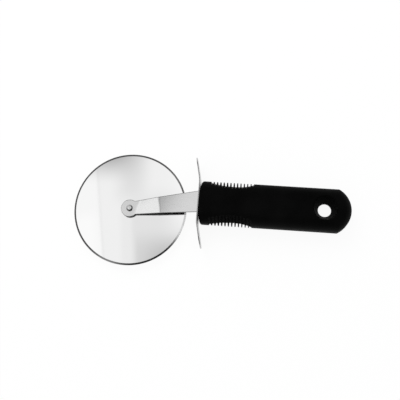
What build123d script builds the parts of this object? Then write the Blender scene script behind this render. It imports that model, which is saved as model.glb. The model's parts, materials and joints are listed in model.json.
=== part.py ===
from build123d import *
import os

# A pizza cutter that lies on its broad side: a round blade turns on a rivet at the end of a
# cranked steel arm, and the arm's tang is held in a soft-skinned handle behind a finger guard.
# Millimetres. +X runs from the blade to the handle's butt, +Z is the blade's axle, and the
# origin is under the middle of the whole tool, on the surface that the handle lies on.

# Blade
wheel_diameter = 100.0
wheel_thickness = 1.0
bevel_width = 1.6
edge_thickness = 0.2

# Rivet and its washers
rivet_diameter = 4.0
rivet_head_diameter = 5.8
rivet_head_height = 1.3
rivet_rim_height = 0.3
rivet_tail_diameter = 6.6
rivet_tail_height = 1.0
rivet_tail_chamfer = 0.4
spacer_diameter = 9.0
spacer_thickness = 0.8
back_washer_diameter = 10.0
back_washer_thickness = 0.8
running_clearance = 0.08
side_play = 0.05
seat_clearance = 0.02

# Arm
arm_thickness = 2.0
eye_diameter = 15.4
neck_width = 11.4
neck_fillet = 2.0
shoulder_width = 19.0
axle_to_guard = 60.2
axle_drop = 8.3
shoulder_shift = 1.2
wheel_offset = 4.8
crank_start = 8.0
crank_length = 19.0
crank_bend_radius = 16.0
tang_width = 14.0
tang_length = 62.0
tang_corner_radius = 3.0
tang_hole_diameter = 5.0
tang_hole_inset = 10.0
tang_hole_spacing = 24.0

# Finger guard
guard_length = 79.5
guard_width = 22.0
guard_thickness = 1.0
guard_flat = 30.0
guard_bend_radius = 32.0
guard_wing_angle = 12.5
guard_corner_radius = 9.0
guard_slot_clearance = 0.15

# Handle: a hard core round the tang, in a soft sleeve
handle_length = 129.9
handle_width = 37.4
handle_thickness = 24.0
handle_corner_radius = 10.0
handle_front_radius = 110.0
handle_front_chamfer = 2.0
butt_radius = 21.0
butt_fillet = 9.0
core_length = 90.0
sleeve_side_wall = 5.0
sleeve_face_wall = 3.0

# Hanging hole
hole_diameter = 11.3
hole_inset = 22.5
hole_land = 2.0
hole_mouth_diameter = 21.0

# Grip fins on both narrow sides, and the floor of the grooves between them
fin_count = 12
fin_thickness = 0.85
fin_gap = 2.05
fins_inset = 9.3
groove_depth = 2.7
groove_scoop_angle = 20.0
groove_place_shares = [0.0, 0.1, 0.3, 0.55, 0.75, 0.9, 1.0]
groove_depth_shares = [0.08, 0.4, 0.84, 1.0, 0.88, 0.45, 0.0]

# One overrun serves every cut
overrun = 5.0

# Places that follow from the sizes above
overall_length = wheel_diameter / 2 + axle_to_guard + guard_thickness + handle_length
axle_x = wheel_diameter / 2 - overall_length / 2
guard_x = axle_x + axle_to_guard
handle_x = guard_x + guard_thickness
handle_z = handle_thickness / 2
wheel_z = handle_z - wheel_offset
spacer_z = wheel_z + wheel_thickness / 2 + side_play
eye_z = spacer_z + spacer_thickness
rivet_head_z = eye_z + arm_thickness
back_washer_z = wheel_z - wheel_thickness / 2 - side_play - back_washer_thickness

# The rivet's axis, and a plane through it for what turns about it
axle_line = Axis((axle_x, 0, 0), (0, 0, 1))
axle_plane = Plane(origin=(axle_x, 0, 0), x_dir=(1, 0, 0), z_dir=(0, -1, 0))

# The handle seen from above and from its front, both centred where its front meets the guard
handle_plan = Plane(origin=(handle_x, axle_drop, handle_z), x_dir=(1, 0, 0), z_dir=(0, 0, 1))
handle_section = Plane(origin=(handle_x, axle_drop, handle_z), x_dir=(0, 1, 0), z_dir=(1, 0, 0))


# Blade: a flat disc, ground from both sides to a thin edge
with BuildPart() as cutting_wheel:
    bore_radius = rivet_diameter / 2 + running_clearance
    flat_radius = wheel_diameter / 2 - bevel_width
    with BuildSketch(axle_plane):
        with BuildLine():
            Polyline(
                (bore_radius, wheel_z - wheel_thickness / 2),
                (flat_radius, wheel_z - wheel_thickness / 2),
                (wheel_diameter / 2, wheel_z - edge_thickness / 2),
                (wheel_diameter / 2, wheel_z + edge_thickness / 2),
                (flat_radius, wheel_z + wheel_thickness / 2),
                (bore_radius, wheel_z + wheel_thickness / 2),
                close=True,
            )
        make_face()
    revolve(axis=axle_line)


# Rivet: a domed head on the arm's eye, a shank through the stack and a clenched tail behind it
with BuildPart() as axle_rivet:
    head_radius = rivet_head_diameter / 2
    tail_radius = rivet_tail_diameter / 2
    head_rim_z = rivet_head_z + rivet_rim_height
    head_top_z = rivet_head_z + rivet_head_height
    tail_bottom_z = back_washer_z - rivet_tail_height
    with BuildSketch(axle_plane):
        with BuildLine():
            Polyline(
                (0, tail_bottom_z),
                (tail_radius - rivet_tail_chamfer, tail_bottom_z),
                (tail_radius, tail_bottom_z + rivet_tail_chamfer),
                (tail_radius, back_washer_z),
                (rivet_diameter / 2, back_washer_z),
                (rivet_diameter / 2, rivet_head_z),
                (head_radius, rivet_head_z),
                (head_radius, head_rim_z),
            )
            TangentArc((0, head_top_z), (head_radius, head_rim_z), tangent=(1, 0))
            Line((0, head_top_z), (0, tail_bottom_z))
        make_face()
    revolve(axis=axle_line)


# Washers: one between the blade and the arm, one under the rivet's tail
with BuildPart() as spacer_washer:
    with BuildSketch(Plane.XY.offset(spacer_z)):
        with Locations((axle_x, 0)):
            Circle(spacer_diameter / 2)
            Circle(rivet_diameter / 2 + seat_clearance, mode=Mode.SUBTRACT)
    extrude(amount=spacer_thickness)

with BuildPart() as back_washer:
    with BuildSketch(Plane.XY.offset(back_washer_z)):
        with Locations((axle_x, 0)):
            Circle(back_washer_diameter / 2)
            Circle(rivet_diameter / 2 + seat_clearance, mode=Mode.SUBTRACT)
    extrude(amount=back_washer_thickness)


# Arm: a strap bent up from the eye to the handle's middle, cut to its outline, with a tang
arm_direction = Vector(axle_to_guard, axle_drop + shoulder_shift, 0)
arm_plan = Plane(origin=(axle_x, 0, 0), x_dir=arm_direction, z_dir=(0, 0, 1))
arm_side = Plane(
    origin=(axle_x, 0, 0), x_dir=arm_direction, z_dir=arm_direction.cross(Vector(0, 0, 1))
)

with BuildPart() as arm:
    with BuildSketch(arm_side):
        with BuildLine():
            FilletPolyline(
                (-eye_diameter, eye_z + arm_thickness / 2),
                (crank_start, eye_z + arm_thickness / 2),
                (crank_start + crank_length, handle_z),
                (axle_to_guard + shoulder_width, handle_z),
                radius=crank_bend_radius,
            )
        trace(line_width=arm_thickness)
    extrude(amount=shoulder_width, both=True)
    with BuildSketch(arm_plan):
        with BuildLine():
            # The taper runs on past the guard, where the shoulders are then cut off square
            taper = (shoulder_width - neck_width) / 2 / axle_to_guard
            strap_reach = axle_to_guard + overrun
            reach_width = neck_width + 2 * taper * strap_reach
            Polyline(
                (0, -neck_width / 2),
                (strap_reach, -reach_width / 2),
                (strap_reach, reach_width / 2),
                (0, neck_width / 2),
                close=True,
            )
        make_face()
        Circle(eye_diameter / 2)
        fillet(vertices().sort_by(Axis.X)[:2], radius=neck_fillet)
    extrude(amount=handle_thickness, mode=Mode.INTERSECT)
    split(bisect_by=Plane(origin=(guard_x, 0, 0), z_dir=(-1, 0, 0)))
    with BuildSketch(handle_plan):
        with Locations(((tang_length - guard_thickness) / 2, 0)):
            Rectangle(tang_length + guard_thickness, tang_width)
        fillet(vertices().group_by(Axis.X)[-1], radius=tang_corner_radius)
        with Locations(
            (tang_length - tang_hole_inset, 0),
            (tang_length - tang_hole_inset - tang_hole_spacing, 0),
        ):
            Circle(tang_hole_diameter / 2, mode=Mode.SUBTRACT)
    extrude(amount=arm_thickness / 2, both=True)
    with Locations((axle_x, 0, rivet_head_z)):
        Hole(radius=rivet_diameter / 2 + seat_clearance, depth=arm_thickness)


# Finger guard: a flat middle on the handle's front and two wings turned the same way round
with BuildPart() as finger_guard:
    with BuildSketch(handle_plan):
        with BuildLine():
            middle = Line(
                (-guard_thickness / 2, -guard_flat / 2), (-guard_thickness / 2, guard_flat / 2)
            )
            thumb_bend = JernArc(middle @ 1, (0, 1), guard_bend_radius, guard_wing_angle)
            PolarLine(thumb_bend @ 1, guard_length / 2, direction=thumb_bend % 1)
            finger_bend = JernArc(middle @ 0, (0, -1), guard_bend_radius, guard_wing_angle)
            PolarLine(finger_bend @ 1, guard_length / 2, direction=finger_bend % 1)
        trace(line_width=guard_thickness)
    extrude(amount=guard_width / 2, both=True)
    with BuildSketch(handle_section):
        RectangleRounded(guard_length, guard_width, guard_corner_radius)
    extrude(amount=guard_length, both=True, mode=Mode.INTERSECT)
    with BuildSketch(handle_section):
        Rectangle(
            tang_width + 2 * guard_slot_clearance, arm_thickness + 2 * guard_slot_clearance
        )
    extrude(amount=overrun, both=True, mode=Mode.SUBTRACT)


# Core: a bar with rounded corners and the handle's crowned front, before the tang is let in
with BuildPart() as core_blank:
    with BuildSketch(handle_section):
        RectangleRounded(
            handle_width - 2 * sleeve_side_wall,
            handle_thickness - 2 * sleeve_face_wall,
            handle_corner_radius - sleeve_face_wall,
        )
    extrude(amount=core_length)
    with BuildSketch(handle_plan):
        with Locations((handle_front_radius, 0)):
            Circle(handle_front_radius)
    extrude(amount=handle_thickness, both=True, mode=Mode.INTERSECT)

with BuildPart() as handle_core:
    add(core_blank.part)
    add(arm.part, mode=Mode.SUBTRACT)


# Grooves: a band along each narrow side, less the fins that stand in it. Its floor is a shallow
# ridge at the handle's middle and is scooped away from there to the tool's two broad sides.
with BuildPart() as grooves:
    fins_length = fin_count * fin_thickness + (fin_count + 1) * fin_gap
    with BuildSketch(handle_plan):
        with BuildLine():
            floor = Polyline(
                [
                    (fins_inset + place * fins_length, handle_width / 2 - depth * groove_depth)
                    for place, depth in zip(groove_place_shares, groove_depth_shares)
                ]
            )
            Polyline(
                floor @ 1,
                (fins_inset + fins_length, handle_width / 2 + overrun),
                (fins_inset, handle_width / 2 + overrun),
                floor @ 0,
            )
        make_face()
    extrude(amount=handle_thickness / 2 + overrun, both=True, taper=-groove_scoop_angle)
    with BuildSketch(handle_plan):
        with Locations((fins_inset + fins_length / 2, handle_width / 2)):
            with GridLocations(fin_thickness + fin_gap, 0, fin_count, 1):
                Rectangle(fin_thickness, handle_width)
    extrude(amount=handle_thickness + overrun, both=True, mode=Mode.SUBTRACT)
    mirror(about=Plane(origin=(0, axle_drop, 0), z_dir=(0, 1, 0)))


# Sleeve: the whole handle's outside, with the core's space, the hanging hole and the fins
with BuildPart() as grip_sleeve:
    with BuildSketch(handle_section):
        RectangleRounded(handle_width, handle_thickness, handle_corner_radius)
    extrude(amount=handle_length)
    with BuildSketch(handle_plan):
        with Locations(((handle_length - butt_radius) / 2, 0)):
            Rectangle(handle_length - butt_radius, 2 * butt_radius)
        with Locations((handle_length - butt_radius, 0)):
            Circle(butt_radius)
        with Locations((handle_front_radius, 0)):
            Circle(handle_front_radius, mode=Mode.INTERSECT)
    extrude(amount=handle_thickness, both=True, mode=Mode.INTERSECT)
    fillet(faces().sort_by(Axis.X)[-1].edges(), radius=butt_fillet)
    chamfer(faces().sort_by(Axis.X)[0].edges(), length=handle_front_chamfer)

    # Hanging hole: a short round land in the middle, opening to a wide mouth on both faces
    hole_x = handle_x + handle_length - hole_inset
    hole_plane = Plane(origin=(hole_x, axle_drop, handle_z), x_dir=(1, 0, 0), z_dir=(0, -1, 0))
    with BuildSketch(hole_plane):
        with BuildLine():
            Polyline(
                (0, 0),
                (hole_diameter / 2, 0),
                (hole_diameter / 2, hole_land / 2),
                (hole_mouth_diameter / 2, handle_z),
                (hole_mouth_diameter / 2, handle_z + overrun),
                (0, handle_z + overrun),
                close=True,
            )
        make_face()
        mirror(about=Plane.XZ)
    revolve(axis=Axis((hole_x, axle_drop, 0), (0, 0, 1)), mode=Mode.SUBTRACT)

    add(grooves.part, mode=Mode.SUBTRACT)
    add(core_blank.part, mode=Mode.SUBTRACT)


pieces = {
    "cutting_wheel": cutting_wheel,
    "arm": arm,
    "axle_rivet": axle_rivet,
    "spacer_washer": spacer_washer,
    "back_washer": back_washer,
    "finger_guard": finger_guard,
    "handle_core": handle_core,
    "grip_sleeve": grip_sleeve,
}
os.makedirs("parts", exist_ok=True)
for name, piece in pieces.items():
    piece.part.label = name
    export_step(piece.part, f"parts/{name}.step")
    print(name, "volume", round(piece.part.volume, 1), piece.part.bounding_box())
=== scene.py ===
# %% [markdown]
# A pizza cutter, seen from above
#
# The tool lies on a white table: a polished round blade on a rivet, a bent steel arm, a thin
# finger guard and a soft black handle. Its pieces come from a CAD model with real sizes, and
# this script gives them their looks. It works in metres, with +X along the handle and +Z up.

# %% Load the CAD model
import json
from math import atan2, cos, pi, radians, sin, tan

import bmesh
import bpy
import numpy as np
from mathutils import Matrix, Vector


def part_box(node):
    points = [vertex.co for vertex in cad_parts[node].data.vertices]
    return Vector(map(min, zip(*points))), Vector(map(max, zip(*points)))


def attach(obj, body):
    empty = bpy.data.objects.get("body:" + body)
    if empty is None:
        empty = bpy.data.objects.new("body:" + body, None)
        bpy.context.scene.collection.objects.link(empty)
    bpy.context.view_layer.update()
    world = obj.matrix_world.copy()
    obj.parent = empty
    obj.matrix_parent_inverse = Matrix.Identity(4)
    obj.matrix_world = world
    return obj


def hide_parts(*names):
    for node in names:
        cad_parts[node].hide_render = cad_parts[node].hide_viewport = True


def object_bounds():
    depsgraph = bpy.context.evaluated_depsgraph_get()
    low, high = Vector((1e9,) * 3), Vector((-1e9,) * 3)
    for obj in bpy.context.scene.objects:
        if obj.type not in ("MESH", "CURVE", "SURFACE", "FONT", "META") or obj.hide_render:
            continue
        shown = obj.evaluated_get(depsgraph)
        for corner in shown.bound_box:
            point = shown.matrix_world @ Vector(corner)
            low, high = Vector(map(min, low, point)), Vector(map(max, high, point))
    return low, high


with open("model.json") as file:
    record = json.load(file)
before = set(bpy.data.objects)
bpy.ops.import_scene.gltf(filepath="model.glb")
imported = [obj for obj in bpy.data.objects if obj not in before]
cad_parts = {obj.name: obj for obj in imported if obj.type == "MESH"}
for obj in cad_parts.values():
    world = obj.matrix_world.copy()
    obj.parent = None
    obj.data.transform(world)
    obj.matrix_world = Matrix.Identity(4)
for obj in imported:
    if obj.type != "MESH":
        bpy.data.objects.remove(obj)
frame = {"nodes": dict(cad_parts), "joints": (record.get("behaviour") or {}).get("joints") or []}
cad_low, cad_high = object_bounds()
mm = 0.001
print("CAD box in mm:", [round(v / mm, 1) for v in (*cad_low, *cad_high)])

# %% [markdown]
# The camera
#
# The photograph was taken from above, by a camera that leans 14 degrees from the upright. In
# the picture it stands a little to the right of the blade and below it, and the picture is
# turned by a few degrees. A camera is easiest to place by saying where it stands and what it
# looks at. Both are measured from the rivet, which the photograph shows sharply.

# %% Camera
axle = Vector(frame["joints"][0]["pos_m"])
camera_place = axle + Vector((0.1116, -0.1192, 0.5533))
camera_aim = axle + Vector((0.0607, 0.0126, -0.0026))
camera_roll = radians(4.8)
camera_lens, camera_sensor, nearest_seen = 58.5, 36, 0.01


def look_at(place, aim, roll):
    """The camera's matrix: it stands at place, looks at aim, and +Y is up, turned by roll."""
    back = (place - aim).normalized()
    right = Vector((0, 1, 0)).cross(back).normalized()
    up = back.cross(right)
    turned_right = right * cos(roll) + up * sin(roll)
    turned_up = back.cross(turned_right)
    axes = Matrix((turned_right, turned_up, back)).transposed()
    return Matrix.Translation(place) @ axes.to_4x4()


camera_data = bpy.data.cameras.new("camera")
camera_data.lens = camera_lens
camera_data.sensor_width = camera_sensor
camera_data.clip_start = nearest_seen
camera = bpy.data.objects.new("camera", camera_data)
camera.matrix_world = look_at(camera_place, camera_aim, camera_roll)
bpy.context.scene.collection.objects.link(camera)
bpy.context.scene.camera = camera
print("camera stands", round((camera_place - axle).length / mm), "mm from the rivet")

# %% [markdown]
# From a grid of points to a piece
#
# Every new piece here is a grid of points: one direction goes round or along the piece, the
# other goes over its surface. numpy works out all the points at once, and this helper joins
# neighbours into faces. Where the grid closes on itself, or runs together in a point, doubled
# points are merged, so that the piece is one closed skin, and its volume shows whether the
# faces point outwards.

# %% Make a piece from a grid
weld_distance, shortest_edge = 0.0005 * mm, 0.0002 * mm
usual_flat_angle = 32


def make_piece(name, grid, body, node, wrap=(True, True), flat_angle=usual_flat_angle):
    """A closed mesh from a grid of points, shape (rows, columns, 3), that stands for a CAD node.

    Neighbouring points make a face. wrap says whether the rows and the columns close on
    themselves. Edges that turn by more than flat_angle degrees stay crisp. A tool for a cut
    has an empty body name, and stands for nothing.
    """
    rows, columns = grid.shape[:2]
    index = np.arange(rows * columns).reshape(rows, columns)
    if wrap[0]:
        index = np.vstack((index, index[:1]))
    if wrap[1]:
        index = np.hstack((index, index[:, :1]))
    faces = np.stack((index[:-1, :-1], index[1:, :-1], index[1:, 1:], index[:-1, 1:]), -1)
    mesh = bpy.data.meshes.new(name)
    mesh.from_pydata(grid.reshape(-1, 3).tolist(), [], faces.reshape(-1, 4).tolist())
    skin = bmesh.new()
    skin.from_mesh(mesh)
    bmesh.ops.remove_doubles(skin, verts=skin.verts, dist=weld_distance)
    bmesh.ops.dissolve_degenerate(skin, edges=skin.edges, dist=shortest_edge)
    if skin.calc_volume(signed=True) < 0:
        bmesh.ops.reverse_faces(skin, faces=skin.faces)
    open_edges = sum(not edge.is_manifold for edge in skin.edges)
    print(name, "faces", len(skin.faces), "open edges", open_edges, end=", ")
    print("volume", round(skin.calc_volume(signed=True) / mm**3, 1), "mm3")
    skin.to_mesh(mesh)
    skin.free()
    mesh.shade_smooth()
    mesh.set_sharp_from_angle(angle=radians(flat_angle))
    piece = bpy.data.objects.new(name, mesh)
    bpy.context.scene.collection.objects.link(piece)
    if body:
        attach(piece, body)
        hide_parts(node)
    return piece


def rounded_outline(corners, radii, steps=6):
    """A closed outline through corners, each rounded by its radius.

    Each corner is an arc that touches both its sides: its centre lies on the corner's
    bisector, at radius / sin(half the corner's angle) from the corner.
    """
    corner = np.array(corners, float)
    radius = np.array(radii, float)[:, None]
    before = np.roll(corner, 1, axis=0) - corner
    after = np.roll(corner, -1, axis=0) - corner
    before /= np.linalg.norm(before, axis=1, keepdims=True)
    after /= np.linalg.norm(after, axis=1, keepdims=True)
    half = np.arccos(np.clip((before * after).sum(1, keepdims=True), -1, 1)) / 2
    bisector = (before + after) / np.linalg.norm(before + after, axis=1, keepdims=True)
    centre = corner + bisector * radius / np.sin(half)
    start = corner + before * radius / np.tan(half) - centre
    end = corner + after * radius / np.tan(half) - centre
    first = np.arctan2(start[:, 1], start[:, 0])[:, None]
    turn = np.arctan2(end[:, 1], end[:, 0])[:, None] - first
    turn = (turn + pi) % (2 * pi) - pi
    angle = first + turn * np.linspace(0, 1, steps)
    arc = np.stack((np.cos(angle), np.sin(angle)), -1) * radius[:, None]
    return (centre[:, None] + arc).reshape(-1, 2)


def with_supports(outline, inset):
    """The same closed outline with two more points on each long side, inset from its ends.

    Smooth shading blends the direction of light over a face. A support point keeps that
    blend next to the rounded edge, so that the rest of the side mirrors as a true flat.
    """
    run = np.roll(outline, -1, axis=0) - outline
    length = np.linalg.norm(run, axis=1, keepdims=True)
    step = run / np.maximum(length, inset) * inset
    points = np.stack((outline, outline + step, outline + run - step), 1)
    keep = np.repeat(length > 4 * inset, 3, axis=1)
    keep[:, 0] = True
    return points[keep]


# %% [markdown]
# The blade
#
# The real blade is stamped from hard stainless sheet, ground to a thin edge from both sides
# and polished like a mirror. In Blender it could be a cylinder with a bevel, but a lathe does
# it better: one half section, turned about the axle, has the exact grind and stays round under
# a mirror finish, where every flat facet would show.

# %% Blade
def turned(profile, centre, steps):
    """A profile of (radius, height) points turned about an upright line through centre.

    A point lies at centre + radius * (cos a, sin a), at its height, for steps angles a.
    """
    angle = np.linspace(0, 2 * pi, steps, endpoint=False)[:, None]
    radius, height = profile[:, 0], profile[:, 1]
    x = centre[0] + np.cos(angle) * radius
    y = centre[1] + np.sin(angle) * radius
    return np.stack((x, y, np.broadcast_to(height, x.shape)), -1)


def middle_and_half(node):
    """A CAD node's middle and half its size, both as vectors."""
    low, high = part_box(node)
    return (low + high) / 2, (high - low) / 2


blade_middle, blade_half = middle_and_half("cutting_wheel")
blade_radius = blade_half.x
bevel_width = 1.6 * mm
edge_half = 0.1 * mm
bore_radius = 2.08 * mm
blade_roundings = np.array([0.1, 0.25, 0.05, 0.05, 0.25, 0.1]) * mm
blade_support, blade_steps = 0.15 * mm, 320
blade_corners = [
    (bore_radius, -blade_half.z),
    (blade_radius - bevel_width, -blade_half.z),
    (blade_radius, -edge_half),
    (blade_radius, edge_half),
    (blade_radius - bevel_width, blade_half.z),
    (bore_radius, blade_half.z),
]
blade_section = with_supports(rounded_outline(blade_corners, blade_roundings), blade_support)
blade_section[:, 1] += blade_middle.z
blade = make_piece(
    "polished_blade", turned(blade_section, axle, blade_steps),
    "wheel", "cutting_wheel",
)

# %% [markdown]
# The rivet
#
# The blade turns on a rivet. Its low head has a flat crown and a sloping flank, and its tail is
# clenched behind a washer. It is lathe work too. The crown reflects what is above it and the
# flank what is beside it, so from above the head is a light disc in a dark ring, which a plain
# dome wouldn't give.

# %% Rivet
rivet_low, rivet_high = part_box("axle_rivet")
spacer_low, spacer_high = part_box("spacer_washer")
back_low, back_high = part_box("back_washer")
arm_thickness = 2.0 * mm
eye_low = spacer_high.z
eye_high = eye_low + arm_thickness
shank_radius, shank_play = 2.0 * mm, 0.02 * mm
rivet_support, lathe_steps = 0.02 * mm, 96
head_radius = 2.9 * mm
crown_radius, crown_drop = 1.75 * mm, 0.05 * mm
flank_slope = tan(radians(25.0))
tail_radius = (rivet_high.x - rivet_low.x) / 2
crown_edge = rivet_high.z - crown_drop
flank_foot = crown_edge - flank_slope * (head_radius - crown_radius)
rivet_corners = [
    (0, rivet_low.z),
    (tail_radius, rivet_low.z),
    (tail_radius, back_low.z),
    (shank_radius, back_low.z),
    (shank_radius, eye_high),
    (head_radius, eye_high),
    (head_radius, flank_foot),
    (crown_radius, crown_edge),
    (0, rivet_high.z),
]
rivet_roundings = np.array([0, 0.55, 0.12, 0, 0, 0.1, 0.12, 0.5, 0]) * mm
rivet_section = with_supports(rounded_outline(rivet_corners, rivet_roundings), rivet_support)
# The last two points lie on the axle, between the section's two ends, where no skin is.
rivet_section = rivet_section[:-2]
head_height, head_wall = rivet_high.z - eye_high, flank_foot - eye_high
print("rivet head", round(head_height / mm, 2), "mm tall, wall", round(head_wall / mm, 2), "mm")
rivet = make_piece(
    "domed_rivet", turned(rivet_section, axle, lathe_steps),
    "handle", "axle_rivet", wrap=(True, False),
)

# %% [markdown]
# The washers
#
# One washer keeps the blade off the arm, the other spreads the rivet's tail over the blade's
# back. Both are stamped and then tumbled with stones, which rounds their edges. A rounded edge
# catches the light as a thin line, so even pieces this small have one. One function makes
# both, each from its own CAD node's box.

# %% Washers
washer_roundings = np.array([0.08, 0.2, 0.2, 0.08]) * mm
washer_support = 0.05 * mm


def washer(name, node, low, high):
    """A flat ring from the CAD node's own box, with tumbled edges."""
    outer = (high.x - low.x) / 2
    inner = shank_radius + shank_play
    corners = [(inner, low.z), (outer, low.z), (outer, high.z), (inner, high.z)]
    section = with_supports(rounded_outline(corners, washer_roundings), washer_support)
    return make_piece(name, turned(section, axle, lathe_steps), "handle", node)


spacer = washer("spacer_ring", "spacer_washer", spacer_low, spacer_high)
back_ring = washer("back_ring", "back_washer", back_low, back_high)

# %% [markdown]
# Plates with softened edges
#
# The arm and the finger guard are both cut from steel sheet, bent, and tumbled until their
# edges are round. Such a plate is two edge lines with a skin between them. The helper carries
# a flat ring of points along those lines: over the top, round one edge, under the bottom and
# round the other edge. A height function then bends the plate.

# %% Plate helper
def edge_normals(line):
    """The direction square to an edge line, on the left of the way that the line runs."""
    run = np.gradient(line, axis=0)
    normal = np.stack((-run[:, 1], run[:, 0]), -1)
    return normal / np.maximum(np.linalg.norm(normal, axis=1, keepdims=True), 1e-12)


def plate(left, right, height, thickness, edge_radius, across=9, round_steps=5, support=0.02):
    """The grid of a bent plate between two edge lines of (a, b) points.

    The skin is the surface (a, b, height(a, b)), moved half a thickness along its own normal
    to both sides. Near an edge the skin draws in along the edge's normal by
    edge_radius * (1 - cos t), and comes down by edge_radius * (1 - sin t).
    """
    left_out, right_out = edge_normals(left), -edge_normals(right)
    left_out[0] = right_out[0] = (-1, 0)
    left_out[-1] = right_out[-1] = (1, 0)
    quarter = np.linspace(pi / 2, 0, round_steps)
    turn = np.concatenate((quarter, -quarter[::-1]))
    side = (thickness / 2 - edge_radius) * np.repeat((1, -1), round_steps)
    lift = edge_radius * np.sin(turn) + side
    inset = edge_radius * (1 - np.cos(turn))
    left_rim = left[:, None] - left_out[:, None] * inset[:, None]
    right_rim = right[:, None] - right_out[:, None] * inset[:, None]
    share = np.linspace(0, 1, across)
    share[[1, -2]] = support, 1 - support
    share = share[1:-1, None]
    top = right_rim[:, None, 0] * (1 - share) + left_rim[:, None, 0] * share
    ring = np.concatenate((left_rim, top[:, ::-1], right_rim[:, ::-1], top), axis=1)
    flat = np.full(across - 2, thickness / 2)
    lift = np.concatenate((lift, -flat, lift[::-1], flat))
    a, b = ring[..., 0], ring[..., 1]
    step = 0.01 * mm
    slope_a = (height(a + step, b) - height(a - step, b)) / (2 * step)
    slope_b = (height(a, b + step) - height(a, b - step)) / (2 * step)
    length = np.sqrt(1 + slope_a**2 + slope_b**2)
    c = height(a, b) + lift / length
    return np.stack((a - slope_a * lift / length, b - slope_b * lift / length, c), -1)


def cut(piece, tool):
    """Takes the closed mesh of tool away from a piece, and keeps the result as its mesh."""
    knife = piece.modifiers.new("hole", "BOOLEAN")
    knife.object = tool
    knife.solver = "EXACT"
    seen = bpy.context.evaluated_depsgraph_get()
    mesh = bpy.data.meshes.new_from_object(piece.evaluated_get(seen))
    piece.modifiers.clear()
    piece.data = mesh
    bpy.data.objects.remove(tool)
    mesh.shade_smooth()
    mesh.set_sharp_from_angle(angle=radians(usual_flat_angle))
    print(piece.name, "has", len(mesh.polygons), "faces after the cut")


# %% [markdown]
# The arm
#
# One strap of 2 mm steel: a round eye under the rivet, a short crank that brings the strap from
# the blade to the handle's middle, and an even taper up to the shoulders that seat on the
# guard. A narrow tang runs on into the handle. A box could be bent by hand into this shape, but
# a formula for the height is easier to match to the photograph. It is a ramp with two round
# corners. The press folded the strap a little askew and left a faint twist, and bright steel
# shows both, so the formula has them too.

# %% Arm
handle_low, handle_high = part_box("grip_sleeve")
guard_low, guard_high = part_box("finger_guard")
handle_middle_y = (handle_low.y + handle_high.y) / 2
handle_middle_z = (handle_low.z + handle_high.z) / 2
handle_front = handle_low.x
guard_thickness = 1.0 * mm
shoulder_x = handle_front - guard_thickness
eye_radius = 7.7 * mm
neck_half, shoulder_half = 5.7 * mm, 9.5 * mm
shoulder_shift = 1.2 * mm
tang_half, tang_corner = 7.0 * mm, 3.0 * mm
tang_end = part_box("arm")[1].x
tang_hole_insets, tang_hole_radius = (10.0 * mm, 34.0 * mm), 2.5 * mm
crank_start, crank_length = 6.6 * mm, 20.0 * mm
crank_end = crank_start + crank_length
first_round, second_round = 1.8 * mm, 1.5 * mm
first_skew, second_skew, strap_twist = 0.45, 0.09, -0.052
neck_soft, arm_edge_radius = 0.5 * mm, 0.35 * mm
eye_sweep = 0.82 * pi
eye_steps, strap_steps, tang_steps, corner_steps = 60, 70, 14, 8
arm_angle = atan2(handle_middle_y + shoulder_shift - axle.y, shoulder_x - axle.x)
strap_length = (shoulder_x - axle.x) / cos(arm_angle)
eye_middle_z = (eye_low + eye_high) / 2
arm_rise = handle_middle_z - eye_middle_z
print("arm rises", round(arm_rise / mm, 2), "mm over", round(crank_length / mm, 1), "mm")


def soft_ramp(t, half):
    """Zero before the corner at t = 0, t after it, and a parabola from -half to half."""
    return np.where(np.abs(t) < half, (t + half) ** 2 / (4 * half), np.maximum(t, 0))


def arm_height(x, y):
    """The arm's middle height: level at the eye, a ramp, then level to the handle.

    The press folds the strap along two skewed lines, and the ramp's length is the distance
    between them. The strap has a faint twist too: the height also falls with the distance
    sideways, most at the second fold, and not at all before the ramp and at the guard.
    """
    along = (x - axle.x) * cos(arm_angle) + (y - axle.y) * sin(arm_angle)
    sideways = (y - axle.y) * cos(arm_angle) - (x - axle.x) * sin(arm_angle)
    first_fold = crank_start + first_skew * np.clip(sideways, -shoulder_half, shoulder_half)
    second_fold = crank_end - second_skew * sideways
    ramp = soft_ramp(along - first_fold, first_round) - soft_ramp(along - second_fold, second_round)
    twist_share = np.interp(along, (crank_start, crank_end, strap_length), (0, 1, 0))
    twist = strap_twist * twist_share
    return eye_middle_z + arm_rise * ramp / (second_fold - first_fold) + twist * sideways


def arm_edge(side):
    """One edge of the arm from the eye's tip to the tang's end, side is 1 or -1.

    The eye is a circle and the strap a straight taper. The edge is whichever lies further
    out, with a soft step between them. Then come the shoulder and the tang's round corner.
    """
    turn = np.linspace(0, eye_sweep, eye_steps)
    round_x, round_y = -eye_radius * np.cos(turn), eye_radius * np.sin(turn)
    strap_x = np.linspace(round_x[-1], shoulder_x - axle.x, strap_steps)[1:]
    along = np.concatenate((round_x, strap_x))
    circle = np.concatenate((round_y, np.full(strap_x.shape, -1.0)))
    taper = (shoulder_half - neck_half) / strap_length
    centre = along * tan(arm_angle)
    strap = (neck_half + taper * along / cos(arm_angle)) / cos(arm_angle) + side * centre
    strap = np.where(along > 0, strap, -1)
    gap = np.clip(0.5 + (strap - circle) / (2 * neck_soft), 0, 1)
    out = circle * (1 - gap) + strap * gap + neck_soft * gap * (1 - gap)
    strap_line = np.stack((axle.x + along, axle.y + side * out), -1)
    corner = np.linspace(0, pi / 2, corner_steps)[1:]
    straight_x = np.linspace(shoulder_x, tang_end - tang_corner, tang_steps)
    corner_x = tang_end - tang_corner + tang_corner * np.sin(corner)
    corner_y = tang_half - tang_corner + tang_corner * np.cos(corner)
    tang_x = np.concatenate((straight_x, corner_x))
    tang_y = np.concatenate((np.full(tang_steps, tang_half), corner_y))
    tang_line = np.stack((tang_x, handle_middle_y + side * tang_y), -1)
    end = np.array([[tang_end, handle_middle_y]])
    return np.vstack((strap_line, tang_line, end))


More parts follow.
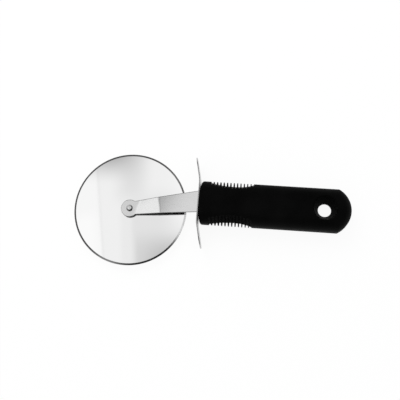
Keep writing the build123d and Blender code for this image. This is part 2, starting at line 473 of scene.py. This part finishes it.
arm_grid = plate(arm_edge(1), arm_edge(-1), arm_height, arm_thickness, arm_edge_radius)
arm = make_piece("bent_arm", arm_grid, "handle", "arm", wrap=(False, True))

# %% [markdown]
# The holes in the arm
#
# The eye has a hole for the rivet, and the tang has two that the core's plastic flows through,
# so that it can't be pulled out. The real strap is punched, and so is this one: a Boolean
# modifier takes a round tool away, and its result is kept as the mesh.

# %% Holes in the arm
def punch(x, y, radius, low, high, steps=64):
    """A round tool for a hole, closed at both ends."""
    section = np.array([(0, low), (radius, low), (radius, high), (0, high)])
    return make_piece("punch", turned(section, (x, y), steps), "", "", wrap=(True, False))


hole_low, hole_high = rivet_low.z, handle_high.z
cut(arm, punch(axle.x, axle.y, shank_radius + shank_play, hole_low, hole_high))
for inset in tang_hole_insets:
    cut(arm, punch(tang_end - inset, handle_middle_y, tang_hole_radius, hole_low, hole_high))

# %% [markdown]
# The finger guard
#
# A thin strip stands across the handle's front, so that the hand can't slide onto the blade.
# Its two wings lean opposite ways, like a shallow S seen from above. It is the same kind of
# plate as the arm, only stood on edge, so its grid is made lying down and then turned: the
# plate's length becomes Y, its width Z and its bend X.

# %% Finger guard
guard_half, guard_tall = (guard_high.y - guard_low.y) / 2, (guard_high.z - guard_low.z) / 2
guard_corner = 9.0 * mm
guard_flat_half = 15.0 * mm
guard_bend = 32.0 * mm
wing_angle = radians(12.5)
guard_edge_radius = 0.3 * mm
guard_corner_steps, guard_steps = 16, 61


def guard_bow(along, _):
    """How far the strip leaves its flat middle: an arc, then a straight wing, on both sides."""
    past = np.maximum(np.abs(along) - guard_flat_half, 0)
    arc_end = guard_bend * sin(wing_angle)
    on_arc = np.minimum(past, arc_end)
    bow = guard_bend - np.sqrt(guard_bend**2 - on_arc**2) + (past - on_arc) * tan(wing_angle)
    return -np.sign(along) * bow


def guard_edge(side):
    """One long edge of the strip with its round corners, from one end to the other."""
    corner = np.linspace(0, pi / 2, guard_corner_steps)
    x = guard_half - guard_corner + guard_corner * np.cos(corner)
    y = guard_tall - guard_corner + guard_corner * np.sin(corner)
    middle = np.linspace(-x[-1], x[-1], guard_steps)[1:-1]
    x = np.concatenate(([-guard_half], -x, middle, x[::-1], [guard_half]))
    straight = np.full(middle.shape, guard_tall)
    y = np.concatenate(([0], y, straight, y[::-1], [0]))
    return np.stack((x, side * y), -1)


lying = plate(guard_edge(1), guard_edge(-1), guard_bow, guard_thickness, guard_edge_radius)
guard_middle_x = handle_front - guard_thickness / 2
standing = np.stack(
    (
        guard_middle_x + lying[..., 2],
        handle_middle_y + lying[..., 0],
        handle_middle_z + lying[..., 1],
    ),
    -1,
)
guard = make_piece(
    "curved_guard", standing, "handle", "finger_guard", wrap=(False, True)
)

# %% [markdown]
# The slot in the guard
#
# The tang passes through a slot in the guard's flat middle, with a little play. The tool that
# cuts it is a grid as well: two equal rings of four corners, one on each side of the guard. A
# row of points in the middle of each ring runs together there and closes the end.

# %% Slot in the guard
slot_play, slot_reach = 0.15 * mm, 5 * mm
slot_half_y, slot_half_z = tang_half + slot_play, arm_thickness / 2 + slot_play
slot_ring = np.array([(1, 1), (-1, 1), (-1, -1), (1, -1)]) * (slot_half_y, slot_half_z)
slot_ring += (handle_middle_y, handle_middle_z)
slot_end = np.broadcast_to((handle_middle_y, handle_middle_z), slot_ring.shape)
slot_outline = np.stack((slot_end, slot_ring, slot_ring, slot_end))
slot_x = guard_middle_x + np.array([-slot_reach, -slot_reach, slot_reach, slot_reach])
slot_x = np.broadcast_to(slot_x[:, None, None], (*slot_outline.shape[:2], 1))
slot_grid = np.concatenate((slot_x, slot_outline), -1)
cut(guard, make_piece("slot_tool", slot_grid, "", "", wrap=(False, True)))

# %% [markdown]
# The handle
#
# The handle is a soft sleeve moulded over a hard core. Twelve thin fins stand in a shallow
# groove along each narrow side and bend under the fingers. Fins could be separate plates, but
# they are moulded in one with the sleeve, so the skin is one closed grid: one direction runs
# along the handle, the other down one side, under the bottom, up the other side and over the
# top. The fins are then a formula for the handle's width.

# %% Handle outline
handle_length = handle_high.x - handle_low.x
handle_half = (handle_high.y - handle_low.y) / 2
handle_tall = (handle_high.z - handle_low.z) / 2
side_round = 10.0 * mm
front_radius, front_soft = 110.0 * mm, 2.0 * mm
butt_radius, butt_soft = 21.0 * mm, 9.0 * mm
fin_count, fin_thickness, fin_gap = 12, 0.85 * mm, 2.05 * mm
fins_start = 9.3 * mm
fins_length = fin_count * fin_thickness + (fin_count + 1) * fin_gap
groove_depth = 2.7 * mm
scoop = tan(radians(20.0))
groove_place_shares = [0.0, 0.1, 0.3, 0.55, 0.75, 0.9, 1.0]
groove_depth_shares = [0.08, 0.4, 0.84, 1.0, 0.88, 0.45, 0.0]
fin_round, wall_steepness = 0.16 * mm, 20.0


def round_inset(height, radius):
    """How far a side that rounds over with that radius has drawn in at a height."""
    over = np.clip(np.abs(height) - (handle_tall - radius), 0, radius)
    return radius - np.sqrt(radius**2 - over**2)


def side_half(x, z):
    """Half the handle's width at x and z, before the grooves.

    The straight side draws in by its own rounding. The butt is a circle, whose radius draws
    in by the butt's softer rounding, and the narrower of the two counts.
    """
    straight = handle_half - round_inset(z, side_round)
    radius = butt_radius - round_inset(z, butt_soft)
    past = np.clip(x - (handle_length - butt_radius), 0, radius)
    return np.minimum(straight, np.sqrt(radius**2 - past**2))


def groove_floor(x, z):
    """Half the width between the groove floors: the handle's, less the depth and the scoop."""
    place = (x - fins_start) / fins_length
    depth = groove_depth * np.interp(place, groove_place_shares, groove_depth_shares)
    floor = handle_half - depth - scoop * np.abs(z)
    return np.where((place > 0) & (place < 1), floor, handle_half)


def into_solid(x):
    """How deep x lies in a fin or in the plain handle past the grooves; negative in a gap."""
    pitch = fin_thickness + fin_gap
    first = fins_start + fin_gap + fin_thickness / 2
    nearest = np.clip(np.round((x - first) / pitch), 0, fin_count - 1)
    in_fin = fin_thickness / 2 - np.abs(x - first - nearest * pitch)
    beyond = np.maximum(fins_start - x, x - fins_start - fins_length)
    return np.maximum(in_fin, beyond)


def finned_half(x, z):
    """Half the handle's width with its grooves cut.

    From a fin's tip the skin first rounds over by fin_round, then falls steeply. It meets the
    groove floor in a small fillet, where the two half widths are blended.
    """
    outer = side_half(x, z)
    floor = np.minimum(groove_floor(x, z), outer)
    deep = into_solid(x)
    over = np.clip(fin_round - deep, 0, fin_round)
    drop = fin_round - np.sqrt(fin_round**2 - over**2) + wall_steepness * np.maximum(-deep, 0)
    wall = outer - drop
    mix = np.clip(0.5 + (wall - floor) / (2 * fin_round), 0, 1)
    blended = floor * (1 - mix) + wall * mix + fin_round * mix * (1 - mix) / 2
    return np.minimum(blended, outer)


print("fins", fin_count, "on each side, over", round(fins_length / mm, 1), "mm")

# %% [markdown]
# Where the handle's points lie
#
# A fin's wall is steep, and even steps along the handle would cut its corners. So the points
# are placed around each wall: a few close steps over the rounded tip, the wall and the fillet
# at its foot, and only a few on the plain stretches. The butt is a circle and gets even steps
# of angle. Every level between the top and the bottom face has the same number of points.

# %% Handle levels and steps
side_steps, butt_steps, shank_steps = 26, 34, 22
same_place_digits = 8
side_turn = np.linspace(pi / 2, 0, side_steps)
upper = handle_tall - side_round + side_round * np.sin(side_turn)
levels = np.concatenate((upper, [0], -upper[::-1]))[:, None]

butt_share = np.linspace(0, 1, butt_steps)
straight = handle_half - round_inset(levels, side_round)
butt_level_radius = butt_radius - round_inset(levels, butt_soft)
butt_turn = butt_share * np.arcsin(np.minimum(straight / butt_level_radius, 1))
butt_x = handle_length - butt_radius + butt_level_radius * np.cos(butt_turn)
butt_y = butt_level_radius * np.sin(butt_turn)

fins_end = fins_start + fins_length
tip_steps = [0.18, 0.14, 0.09, 0.04, 0.0]
foot_steps = [-0.03, -0.06, -0.09, -0.12, -0.16, -0.24]
wall_steps = np.array(tip_steps + foot_steps) * mm
fin_centres = fins_start + fin_gap + fin_thickness / 2
fin_centres = fin_centres + np.arange(fin_count) * (fin_thickness + fin_gap)
fin_side = fin_thickness / 2
walls = np.concatenate(
    (
        (fin_centres[:, None] - fin_side + wall_steps).ravel(),
        (fin_centres[:, None] + fin_side - wall_steps).ravel(),
        fins_start - wall_steps,
        fins_end + wall_steps,
        fin_centres,
        fin_centres + (fin_gap + fin_thickness) / 2,
    )
)
walls = np.unique(np.round(walls[walls > 0], same_place_digits))[::-1]
reach = np.linspace(0, 1, shank_steps)[1:-1]
shank_x = butt_x[:, -1:] + (walls[0] - butt_x[:, -1:]) * reach
fin_x = np.broadcast_to(walls, (len(levels), len(walls)))
print("handle has", len(levels), "levels and", len(walls), "steps along its fins")

# %% [markdown]
# The handle's front
#
# The front is slightly crowned, and rounds back into the sides. The hard core ends flush with
# the rubber round it. The skin closes over the core as well, so there it steps back a little,
# behind the core's own face, and no two faces lie in one place. The crown is a wide arc, the
# rounding and the recess follow the distance to an outline, and the three are added up.

# %% Handle front
sleeve_side_wall, sleeve_face_wall, core_recess = 5.0 * mm, 3.0 * mm, 0.3 * mm
front_steps, neck_steps = 34, 12


def inside_section(y, z, half_y, half_z, radius):
    """How deep a point lies inside a rounded rectangle; less than zero outside it."""
    over_y, over_z = np.abs(y) - (half_y - radius), np.abs(z) - (half_z - radius)
    outside = np.hypot(np.maximum(over_y, 0), np.maximum(over_z, 0))
    return radius - outside - np.minimum(np.maximum(over_y, over_z), 0)


def front_x(y, z):
    """The handle's crowned front: a wide arc, rounded back near the section's outline.

    A shallow recess in the middle keeps the skin behind the hard core's face.
    """
    crown = front_radius - np.sqrt(front_radius**2 - y**2)
    deep = inside_section(y, z, handle_half, handle_tall, side_round)
    over = np.clip(front_soft - deep, 0, front_soft)
    core_half, core_tall = handle_half - sleeve_side_wall, handle_tall - sleeve_face_wall
    core_deep = inside_section(y, z, core_half, core_tall, side_round - sleeve_face_wall)
    recess = core_recess * np.clip(core_deep / core_recess, 0, 1)
    return crown + front_soft - np.sqrt(front_soft**2 - over**2) + recess


front_turn = np.linspace(pi / 2, 0, front_steps)
front_y = straight * np.sin(front_turn)
front_face_x = front_x(front_y, levels)
neck_share = np.linspace(0, 1, neck_steps)[1:-1]
neck_x = walls[-1] + (front_face_x[:, :1] - walls[-1]) * neck_share
print("front's points span", round(float(np.ptp(front_face_x)) / mm, 2), "mm in depth")

# %% [markdown]
# The handle's skin
#
# Now the stretches are joined into one skin: butt, shank, fins, neck and front on one side, the
# same mirrored on the other, and two flat faces between them. At the butt's tip and in the
# middle of the front the two sides run together, and make_piece merges the points there.

# %% Handle skin
face_steps = 17
plain_x = np.concatenate((shank_x, fin_x, neck_x), axis=1)
plain_y = finned_half(plain_x, levels)
skin_x = np.concatenate((butt_x, plain_x, front_face_x), axis=1).T
skin_y = np.concatenate((butt_y, plain_y, front_y), axis=1).T
skin_z = np.broadcast_to(levels.T, skin_x.shape)

across = np.linspace(1, -1, face_steps)[1:-1]
low_x, low_y = skin_x[:, -1:] + 0 * across, skin_y[:, -1:] * across
top_x, top_y = skin_x[:, :1] + 0 * across, skin_y[:, :1] * across[::-1]
face_z = np.full(low_x.shape, handle_tall)
ring_x = np.concatenate((skin_x, low_x, skin_x[:, ::-1], top_x), axis=1)
ring_y = np.concatenate((skin_y, low_y, -skin_y[:, ::-1], top_y), axis=1)
ring_z = np.concatenate((skin_z, -face_z, skin_z[:, ::-1], face_z), axis=1)
skin = np.stack((handle_front + ring_x, handle_middle_y + ring_y, handle_middle_z + ring_z), -1)
grip = make_piece(
    "finned_grip", skin, "handle", "grip_sleeve", wrap=(False, True), flat_angle=40
)

# %% [markdown]
# The hanging hole
#
# The tool hangs on a hook by a short round bore, which opens into a wide cone on both faces. In
# the real mould a pin makes it. A hole in the grid would bend all of its lines, so a turned
# tool with the hole's own section is taken away instead. A short slope with a rounded foot
# softens each mouth.

# %% Hanging hole
hole_radius, hole_land, mouth_radius = 5.65 * mm, 1.0 * mm, 10.5 * mm
hole_inset = 22.5 * mm
hole_x = handle_high.x - hole_inset
lip_round = 0.8 * mm
mouth_corner_steps, mouth_steps = 8, 128
mouth_corners = [
    (0, -handle_tall - lip_round),
    (mouth_radius + lip_round, -handle_tall - lip_round),
    (mouth_radius + lip_round, -handle_tall),
    (mouth_radius - lip_round / 2, -handle_tall + lip_round),
    (hole_radius, -hole_land),
    (hole_radius, hole_land),
    (mouth_radius - lip_round / 2, handle_tall - lip_round),
    (mouth_radius + lip_round, handle_tall),
    (mouth_radius + lip_round, handle_tall + lip_round),
    (0, handle_tall + lip_round),
]
mouth_roundings = np.array([0, 0, 0, 1.2, 1.0, 1.0, 1.2, 0, 0, 0]) * mm
mouth_section = rounded_outline(mouth_corners, mouth_roundings, mouth_corner_steps)
mouth_section[:, 1] += handle_middle_z
mouth_tool = make_piece(
    "mouth_tool", turned(mouth_section, (hole_x, handle_middle_y), mouth_steps), "", "",
    wrap=(True, False),
)
cut(grip, mouth_tool)
hole_width, mouth_width = 2 * hole_radius, 2 * (mouth_radius + lip_round)
print("hanging hole", round(hole_width / mm, 1), "mm, mouth", round(mouth_width / mm, 1), "mm")

# %% [markdown]
# Finishes
#
# Each finish is a small net of nodes that reads Object coordinates, so the pattern is fixed
# to the piece and turns with it. This helper adds one node, and sets or links its inputs. A
# value that is the same all over is written on the shader's own socket.

# %% Node helper
def add(tree, kind, inputs=(), **settings):
    """Adds a node to tree. inputs are (socket, value or other node's output) pairs."""
    made = tree.nodes.new("ShaderNode" + kind)
    for name, value in settings.items():
        setattr(made, name, value)
    for socket, value in inputs:
        if isinstance(value, bpy.types.NodeSocket):
            tree.links.new(value, made.inputs[socket])
        else:
            made.inputs[socket].default_value = value
    return made


def new_finish(name, **values):
    """A material with one Principled shader; values go on the shader's own sockets."""
    finish = bpy.data.materials.new(name)
    finish.use_nodes = True
    tree = finish.node_tree
    shader = tree.nodes["Principled BSDF"]
    for socket, value in values.items():
        shader.inputs[socket.replace("_", " ")].default_value = value
    return finish, tree, shader


def centred(tree, centre=(0, 0, 0), turn=0.0, scale=(1, 1, 1)):
    """Object coordinates measured from centre, turned about Z and stretched."""
    place = add(tree, "TexCoord").outputs["Object"]
    moved = add(tree, "VectorMath", [(0, place), (1, centre)], operation="SUBTRACT")
    turned_round = [("Vector", moved.outputs[0]), ("Rotation", (0, 0, turn)), ("Scale", scale)]
    return add(tree, "Mapping", turned_round).outputs[0]


def noise(tree, place, scale, detail=3.0, roughness=0.5):
    """Soft random patches between 0 and 1, scale of them to a metre."""
    settings = [("Vector", place), ("Scale", scale), ("Detail", detail), ("Roughness", roughness)]
    return add(tree, "TexNoise", settings).outputs["Fac"]


def spread(tree, value, low, high, from_low=0.3, from_high=0.7):
    """Maps a value onto low to high; the noise's usual values are 0.3 to 0.7."""
    settings = [(0, value), (1, from_low), (2, from_high), (3, low), (4, high)]
    return add(tree, "MapRange", settings).outputs[0]


def grey(tree, value):
    """A neutral colour from a value."""
    return add(tree, "CombineColor", [(0, value), (1, value), (2, value)]).outputs[0]


def bump(tree, shader, height, distance, strength=1.0):
    """Makes the shader's light break on a height from 0 to 1, distance metres deep."""
    settings = [("Height", height), ("Distance", distance), ("Strength", strength)]
    tree.links.new(add(tree, "Bump", settings).outputs[0], shader.inputs["Normal"])


def dress(pieces, finish):
    """Gives each piece the finish in its first and only slot."""
    for piece in pieces:
        piece.data.materials.clear()
        piece.data.materials.append(finish)
        print(piece.name, "wears", finish.name)


# %% [markdown]
# Mirror polish
#
# The blade is buffed on a wheel while it spins, so what little grain is left runs in circles
# round the axle. A circle pattern is a noise of one number only: the distance from the axle.
# The ground bevel at the rim is duller and its fine lines run outwards, which is a noise of
# the angle. One mask, on the same distance, tells the two apart.

# %% Blade finish
bevel_start, bevel_blend = blade_radius - bevel_width, 0.05 * mm
polish_depth = 0.0004 * mm
blade_finish, tree, shader = new_finish("mirror_polished_steel", Metallic=1.0)
place = centred(tree, tuple(axle))
parts = add(tree, "SeparateXYZ", [(0, place)])
flat_place = add(tree, "CombineXYZ", [(0, parts.outputs[0]), (1, parts.outputs[1])])
distance = add(tree, "VectorMath", [(0, flat_place.outputs[0])], operation="LENGTH").outputs["Value"]
angle = add(
    tree, "Math", [(0, parts.outputs[1]), (1, parts.outputs[0])], operation="ARCTAN2"
).outputs[0]
circles = add(
    tree, "TexNoise", [("W", distance), ("Scale", 2600.0), ("Detail", 4.0)], noise_dimensions="1D"
).outputs["Fac"]
rays = add(
    tree, "TexNoise", [("W", angle), ("Scale", 160.0), ("Detail", 3.0)], noise_dimensions="1D"
).outputs["Fac"]
patches = noise(tree, place, 40.0)
on_bevel = spread(tree, distance, 0.0, 1.0, bevel_start - bevel_blend, bevel_start + bevel_blend)
face_rough = spread(tree, patches, 0.02, 0.035)
bevel_rough = spread(tree, rays, 0.14, 0.22)
rough = add(tree, "Mix", [(0, on_bevel), (2, face_rough), (3, bevel_rough)]).outputs[0]
face_tone = spread(tree, circles, 0.885, 0.905)
bevel_tone = spread(tree, rays, 0.55, 0.66)
tone = add(tree, "Mix", [(0, on_bevel), (2, face_tone), (3, bevel_tone)]).outputs[0]
tree.links.new(rough, shader.inputs["Roughness"])
tree.links.new(grey(tree, tone), shader.inputs["Base Color"])
lines = add(tree, "Mix", [(0, on_bevel), (2, circles), (3, rays)]).outputs[0]
bump(tree, shader, lines, polish_depth)
dress([blade], blade_finish)

# %% [markdown]
# Brushed steel
#
# The arm and the guard are brushed along their length before they are bent. Brushing is a
# noise that is stretched: long along the stroke, very narrow across it. The same few nodes
# make both, each turned to its own direction. The guard is the darker and duller of the two.

# %% Arm and guard finishes
def brushed_steel(name, turn, stretch, tones, roughness, lines_deep):
    """Steel brushed along the axis with the smallest stretch, once turned about Z by turn."""
    finish, tree, shader = new_finish(name, Metallic=1.0)
    strokes = noise(tree, centred(tree, turn=turn, scale=stretch), 1.0, 4.0, 0.6)
    patches = noise(tree, centred(tree), 70.0)
    both = add(tree, "Mix", [(0, 0.35), (2, strokes), (3, patches)]).outputs[0]
    tree.links.new(grey(tree, spread(tree, both, *tones)), shader.inputs["Base Color"])
    tree.links.new(spread(tree, strokes, *roughness), shader.inputs["Roughness"])
    bump(tree, shader, strokes, lines_deep)
    return finish


arm_finish = brushed_steel(
    "brushed_arm_steel", turn=-arm_angle, stretch=(60, 5000, 5000), tones=(0.67, 0.72),
    roughness=(0.10, 0.16), lines_deep=0.0006 * mm,
)
guard_finish = brushed_steel(
    "brushed_guard_steel", turn=0.0, stretch=(5000, 60, 5000), tones=(0.46, 0.54),
    roughness=(0.20, 0.30), lines_deep=0.001 * mm,
)
dress([arm], arm_finish)
dress([guard], guard_finish)

# %% [markdown]
# Tumbled steel
#
# The rivet and the washers are too small to be brushed. They are tumbled and plated, which
# leaves soft patches of tone, and the tool that sets the rivet leaves fine rings about the
# axle. The rings are again a noise of the distance from the axle, as on the blade.

# %% Rivet and washer finishes
def tumbled_steel(name, tones, roughness, rings):
    """Plated steel with soft patches, and the setting tool's rings about the axle."""
    finish, tree, shader = new_finish(name, Metallic=1.0)
    place = centred(tree, tuple(axle))
    parts = add(tree, "SeparateXYZ", [(0, place)])
    flat = add(tree, "CombineXYZ", [(0, parts.outputs[0]), (1, parts.outputs[1])]).outputs[0]
    distance = add(tree, "VectorMath", [(0, flat)], operation="LENGTH").outputs["Value"]
    circles = add(
        tree, "TexNoise", [("W", distance), ("Scale", rings), ("Detail", 2.0)],
        noise_dimensions="1D",
    ).outputs["Fac"]
    patches = noise(tree, place, 900.0)
    tree.links.new(grey(tree, spread(tree, patches, *tones)), shader.inputs["Base Color"])
    tree.links.new(spread(tree, circles, *roughness), shader.inputs["Roughness"])
    bump(tree, shader, circles, 0.004 * mm)
    return finish


rivet_finish = tumbled_steel(
    "domed_rivet_steel", tones=(0.62, 0.70), roughness=(0.09, 0.15), rings=5000.0
)
washer_finish = tumbled_steel(
    "plated_washer_steel", tones=(0.50, 0.60), roughness=(0.28, 0.42), rings=3000.0
)
dress([rivet], rivet_finish)
dress([spacer, back_ring], washer_finish)

# %% [markdown]
# Soft black rubber
#
# The grip is a matt black elastomer. Its mould was eroded by sparks, which leaves a fine even
# pebble on the whole skin, and the two halves of the mould leave a hair line round its middle.
# Rubber this dark is shown by its sheen more than by its colour, so the colour is nearly
# black, and the pebble and the roughness do the work. The hard core is a smoother plastic.

# %% Grip and core finishes
grip_finish, tree, shader = new_finish("matt_black_rubber", Specular_IOR_Level=0.06)
place = centred(tree, (0, 0, handle_middle_z))
pebble = noise(tree, place, 2600.0, 2.0, 0.55)
patches = noise(tree, place, 55.0)
tree.links.new(grey(tree, spread(tree, patches, 0.0009, 0.0020)), shader.inputs["Base Color"])
tree.links.new(spread(tree, pebble, 0.56, 0.72), shader.inputs["Roughness"])
height = add(tree, "SeparateXYZ", [(0, place)]).outputs[2]
off_line = add(tree, "Math", [(0, height)], operation="ABSOLUTE").outputs[0]
seam_half = 0.12 * mm
seam = spread(tree, off_line, 1.0, 0.0, 0.0, seam_half)
relief = add(tree, "Math", [(0, pebble), (1, seam)], operation="ADD").outputs[0]
bump(tree, shader, relief, 0.03 * mm, 0.7)
dress([grip], grip_finish)

core_finish, tree, shader = new_finish("black_core_plastic", Specular_IOR_Level=0.4)
place = centred(tree)
fine = noise(tree, place, 4000.0, 2.0)
tree.links.new(grey(tree, spread(tree, fine, 0.006, 0.009)), shader.inputs["Base Color"])
tree.links.new(spread(tree, fine, 0.34, 0.46), shader.inputs["Roughness"])
bump(tree, shader, fine, 0.01 * mm)
dress([frame["nodes"]["handle_core"]], core_finish)

# %% [markdown]
# The floor
#
# The photograph has a pure white ground with no visible shadow. The floor therefore glows
# white for the camera and for reflections, and keeps a small matt share, which darkens a
# little where the tool shuts out the light. A brighter lamp could bleach the floor too, but it
# would bleach the tool with it. The Light Path node tells which kind of ray arrives, so the
# camera and mirrors see the glow, and matt surfaces aren't lit by it.

# %% Floor
floor_size, floor_gap = 4.0, 0.02 * mm
matt_share = 0.08
floor_mesh = bpy.data.meshes.new("floor")
floor_corners = np.array([(-1, -1), (1, -1), (1, 1), (-1, 1)]) * floor_size / 2
floor_heights = np.full(len(floor_corners), cad_low.z - floor_gap)
floor_points = np.column_stack((floor_corners, floor_heights))
floor_mesh.from_pydata(floor_points.tolist(), [], [(0, 1, 2, 3)])
floor = bpy.data.objects.new("floor", floor_mesh)
bpy.context.scene.collection.objects.link(floor)
print("floor", floor_size, "m wide, at z", round(floor_heights[0] / mm, 2), "mm")


def seen_directly(tree):
    """One for what the camera sees, itself or in a mirror or a glass, and zero otherwise."""
    path = add(tree, "LightPath").outputs
    glossy = add(
        tree, "Math", [(0, path["Is Camera Ray"]), (1, path["Is Glossy Ray"])], operation="MAXIMUM"
    )
    return add(
        tree, "Math", [(0, glossy.outputs[0]), (1, path["Is Transmission Ray"])],
        operation="MAXIMUM",
    ).outputs[0]


floor_finish = bpy.data.materials.new("white_floor")
floor_finish.use_nodes = True
tree = floor_finish.node_tree
tree.nodes.clear()
glow = add(tree, "Emission", [("Strength", 1.0)])
matt = add(tree, "BsdfDiffuse", [("Color", (1, 1, 1, 1))])
white_share = spread(tree, seen_directly(tree), 0.0, 1 - matt_share, 0, 1)
mixed = add(tree, "MixShader", [(0, white_share), (1, matt.outputs[0]), (2, glow.outputs[0])])
tree.links.new(mixed.outputs[0], add(tree, "OutputMaterial").inputs[0])
floor_mesh.materials.append(floor_finish)

# %% [markdown]
# What the steel reflects
#
# A mirror shows nothing but what surrounds it, so the blade's greys are made by the studio, not
# by the blade. The camera sees a white world, matt pieces get the same light from all round,
# and mirrors see a dark ceiling with soft panels. The panels are laid out as seen from the
# tool: a direction (x, y, z) meets the ceiling at (x / z, y / z). Each row below is a panel: its
# name, centre, half size, soft edge, turn in degrees and brightness. A later one covers an
# earlier one.

# %% Studio panels
ceiling_level = 0.11
ceiling_panels = [
    ("dark camera side", (0.36, -0.58), (0.55, 0.50), (0.05, 0.05), 0, 0.02),
    ("front lamp", (-0.42, -0.34), (0.12, 0.10), (0.08, 0.08), 0, 0.50),
    ("far lamp", (0.25, 0.65), (0.14, 0.12), (0.08, 0.08), 0, 0.32),
    ("side window", (0.40, 0.12), (0.15, 0.19), (0.05, 0.05), 0, 1.40),
    ("big soft box", (-0.04, 0.20), (0.50, 0.14), (0.05, 0.05), 0, 0.97),
    ("bright left end", (-0.32, 0.20), (0.071, 0.17), (0.002, 0.02), 10.6, 1.03),
    ("bright left corner", (-0.32, 0.11), (0.080, 0.08), (0.014, 0.014), 10.6, 1.07),
    ("hot corner", (-0.46, 0.24), (0.12, 0.16), (0.05, 0.05), 0, 1.22),
    ("seam in the box", (-0.248, 0.20), (0.0015, 0.17), (0.001, 0.02), 10.6, 0.90),
    ("grey strip, far half", (-0.203, 0.32), (0.020, 0.09), (0.018, 0.018), 0, 0.84),
    ("first grey step", (-0.157, 0.135), (0.050, 0.10), (0.006, 0.03), 7, 0.92),
    ("second grey step", (-0.139, 0.135), (0.050, 0.10), (0.004, 0.03), 7, 0.85),
    ("grey near end", (-0.095, 0.095), (0.0836, 0.085), (0.004, 0.02), 7, 0.75),
    ("light right end", (-0.080, 0.250), (0.050, 0.065), (0.03, 0.03), 0, 1.03),
    ("dark near corner", (-0.070, 0.080), (0.090, 0.075), (0.03, 0.03), 0, 0.50),
    ("grey far end", (-0.258, 0.345), (0.048, 0.060), (0.035, 0.035), 0, 0.34),
]
lowest_slope = 0.08

world = bpy.data.worlds.new("studio")
world.use_nodes = True
tree = world.node_tree
tree.nodes.clear()
ray = add(tree, "SeparateXYZ", [(0, add(tree, "TexCoord").outputs["Generated"])]).outputs
above = add(tree, "Math", [(0, ray[2]), (1, lowest_slope)], operation="MAXIMUM").outputs[0]
ceiling_x = add(tree, "Math", [(0, ray[0]), (1, above)], operation="DIVIDE").outputs[0]
ceiling_y = add(tree, "Math", [(0, ray[1]), (1, above)], operation="DIVIDE").outputs[0]
ceiling = add(tree, "CombineXYZ", [(0, ceiling_x), (1, ceiling_y)]).outputs[0]


def panel(tree, ceiling, before, centre, half, edge, turn, level):
    """Lays a soft rectangular panel of one brightness on the ceiling, over what is before it.

    The panel covers what is less than half away from its centre, both ways, measured along
    its own sides, which are turned by some degrees. A side fades over twice its edge.
    """
    away = add(tree, "VectorMath", [(0, ceiling), (1, (*centre, 0))], operation="SUBTRACT")
    own_way = [("Vector", away.outputs[0]), ("Angle", radians(-turn))]
    own = add(tree, "VectorRotate", own_way, rotation_type="Z_AXIS").outputs[0]
    off = add(tree, "VectorMath", [(0, own)], operation="ABSOLUTE").outputs[0]
    across = add(tree, "SeparateXYZ", [(0, off)]).outputs
    inside = []
    for side in (0, 1):
        outer, inner = half[side] + edge[side], half[side] - edge[side]
        fade = [(0, across[side]), (1, outer), (2, inner), (3, 0.0), (4, 1.0)]
        inside.append(add(tree, "MapRange", fade, interpolation_type="SMOOTHSTEP").outputs[0])
    both = add(tree, "Math", [(0, inside[0]), (1, inside[1])], operation="MULTIPLY").outputs[0]
    return add(tree, "Mix", [(0, both), (2, before), (3, level)]).outputs[0]


level = ceiling_level
for name, centre, half, edge, turn, brightness in ceiling_panels:
    level = panel(tree, ceiling, level, centre, half, edge, turn, brightness)
    print("studio:", name, "level", brightness)

# %% [markdown]
# The studio's walls
#
# Seen from the side, the blade reflects rays that leave at a low angle, and these would meet
# the ceiling very far away, where it is dark. A real room has walls there. So the ceiling fades
# into a lighter wall with the distance from its middle, and one side of the room is brighter.
# A lamp at each side could do it too, but it would light the matt pieces as well.

# %% Studio walls and world
ceiling_middle = (-0.2, 0.25, 0)
wall_start, wall_full, wall_levels = 0.95, 2.0, (0.34, 0.80)
bright_side_x, bright_side_y = -0.6, 0.8
even_light = 0.8
from_middle = add(tree, "VectorMath", [(0, ceiling), (1, ceiling_middle)], operation="DISTANCE")
wall_fade = [
    (0, from_middle.outputs["Value"]), (1, wall_start), (2, wall_full), (3, 0.0), (4, 1.0)
]
on_wall = add(tree, "MapRange", wall_fade, interpolation_type="SMOOTHSTEP").outputs[0]
part_x = add(tree, "Math", [(0, ray[0]), (1, bright_side_x)], operation="MULTIPLY").outputs[0]
part_y = [(0, ray[1]), (1, bright_side_y), (2, part_x)]
to_bright_side = add(tree, "Math", part_y, operation="MULTIPLY_ADD").outputs[0]
wall_level = spread(tree, to_bright_side, *wall_levels, -1.0, 1.0)
level = add(tree, "Mix", [(0, on_wall), (2, level), (3, wall_level)]).outputs[0]
path = add(tree, "LightPath").outputs
behind = add(
    tree, "Math", [(0, path["Is Camera Ray"]), (1, path["Is Transmission Ray"])],
    operation="MAXIMUM",
).outputs[0]
for_mirrors = add(tree, "Mix", [(0, path["Is Glossy Ray"]), (2, even_light), (3, level)]).outputs[0]
strength = add(tree, "Mix", [(0, behind), (2, for_mirrors), (3, 1.0)]).outputs[0]
background = add(tree, "Background", [("Color", (1, 1, 1, 1)), ("Strength", strength)])
tree.links.new(background.outputs[0], add(tree, "OutputWorld").inputs[0])
world.cycles.sampling_method = "NONE"
bpy.context.scene.world = world
print("walls from", wall_levels[0], "to", wall_levels[1], "and even light of", even_light)

# %% [markdown]
# A soft lamp
#
# Light that is even all round leaves matt pieces flat. One weak, large lamp behind the tool and
# to its left gives the handle a lit and an unlit side. It is hidden from glossy rays, because
# the steel has its panels already.

# %% Key light
key_size, key_power = 0.6, 3.0
key_place, key_aim = Vector((-0.35, 0.55, 0.75)), Vector((0, 0, 0))
key_data = bpy.data.lights.new("key", "AREA")
key_data.size = key_size
key_data.energy = key_power
key = bpy.data.objects.new("key", key_data)
key.matrix_world = look_at(key_place, key_aim, 0)
key.visible_glossy = False
bpy.context.scene.collection.objects.link(key)
print("key lamp", key_size, "m wide,", key_power, "W")

bpy.context.scene.view_settings.view_transform = "Standard"
